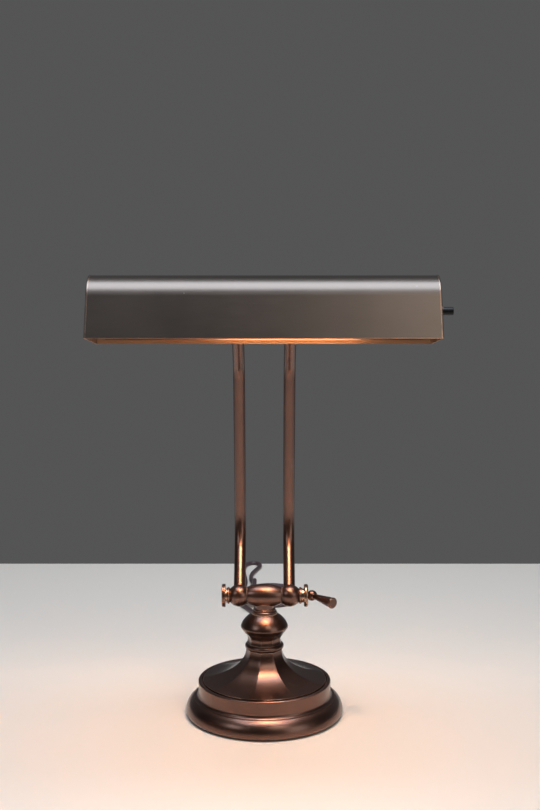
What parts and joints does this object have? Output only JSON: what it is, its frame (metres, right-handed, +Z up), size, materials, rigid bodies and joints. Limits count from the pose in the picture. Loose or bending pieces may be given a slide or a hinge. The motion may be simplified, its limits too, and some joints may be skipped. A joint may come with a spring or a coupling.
{
  "type": "piano lamp",
  "caption": "Piano lamp with a long trough shade on two bent arms, a clamped pivot bar and a heavy round base.",
  "frame": {"origin": "middle of the base's underside, on the table", "axes": "+Z up; -Y is the front, where the shade hangs; +X is the side of the clamp lever and the switch"},
  "size_m": [0.2652, 0.5614, 0.3556],
  "materials": {
    "dark_bronze": "dark rubbed bronze, satin, copper showing on raised edges",
    "copper_edge": "rubbed copper bronze, satin",
    "shade_bronze": "brushed dark bronze, satin",
    "black_plastic": "gloss black",
    "holder_black": "matt black moulding",
    "cast_iron": "raw casting",
    "steel": "zinc plated",
    "brass": "bright brass",
    "bulb_metal": "bright",
    "bulb_glass": "frosted, lit warm",
    "felt": "green felt",
    "fibre": "fibre washer",
    "grommet": "soft black rubber",
    "cord_brown": "brown vinyl"
  },
  "bodies": {
    "base": {"base_cover": "dark_bronze", "felt_pad": "felt", "base_weight": "cast_iron", "stem_rod": "steel", "base_nut": "steel", "base_washer": "steel", "flare_column": "dark_bronze", "column_ring": "dark_bronze", "neck_bulb": "dark_bronze", "stem_collar": "copper_edge", "pivot_barrel": "dark_bronze", "cord_relief": "cord_brown", "base_wiring": "cord_brown", "cord_coil": "cord_brown", "cord_lead": "cord_brown", "cord_tail": "cord_brown", "plug_body": "cord_brown", "plug_blades": "brass"},
    "arms": {"right_arm_tube": "dark_bronze", "left_arm_tube": "dark_bronze", "arm_lead": "cord_brown", "right_knuckle": "dark_bronze", "left_knuckle": "dark_bronze", "pivot_washers": "fibre", "right_collar": "copper_edge", "left_collar": "copper_edge", "clamp_bolt": "dark_bronze", "right_swivel_eye": "dark_bronze", "left_swivel_eye": "dark_bronze", "swivel_washers": "fibre", "swivel_pin": "steel", "swivel_cap_nuts": "copper_edge"},
    "lever": {"lever_hub": "copper_edge", "lever_handle": "dark_bronze"},
    "shade": {"shade_shell": "shade_bronze", "left_end_cap": "shade_bronze", "right_end_cap": "shade_bronze", "shade_bracket": "dark_bronze", "swivel_spacer": "dark_bronze", "bracket_rivets": "copper_edge", "lead_grommet": "grommet", "switch_body": "holder_black", "switch_bushing": "copper_edge", "switch_washer": "copper_edge", "switch_nut": "copper_edge", "socket_strap": "steel", "lampholder": "holder_black", "screw_shell": "brass", "centre_contact": "brass", "bulb_cap": "bulb_metal", "bulb_glass": "bulb_glass"},
    "button": {"switch_button": "black_plastic"}
  },
  "joints": [
    {"name": "arm_tilt", "type": "hinge", "parent": "base", "child": "arms", "pos_m": [0, 0, 0.0973], "axis": [1, 0, 0], "range_deg": [-40, 40]},
    {"name": "lever_turn", "type": "hinge", "parent": "arms", "child": "lever", "pos_m": [0.036, 0, 0.0973], "axis": [1, 0, 0], "range_deg": [-75, 75]},
    {"name": "shade_tilt", "type": "hinge", "parent": "arms", "child": "shade", "pos_m": [0, -0.027, 0.313], "axis": [1, 0, 0], "range_deg": [-45, 35]},
    {"name": "button_press", "type": "slide", "parent": "shade", "child": "button", "axis": [-1, 0, 0], "range_m": [0, 0.0025], "stiffness_N_per_m": 300, "springref_m": -0.002}
  ]
}
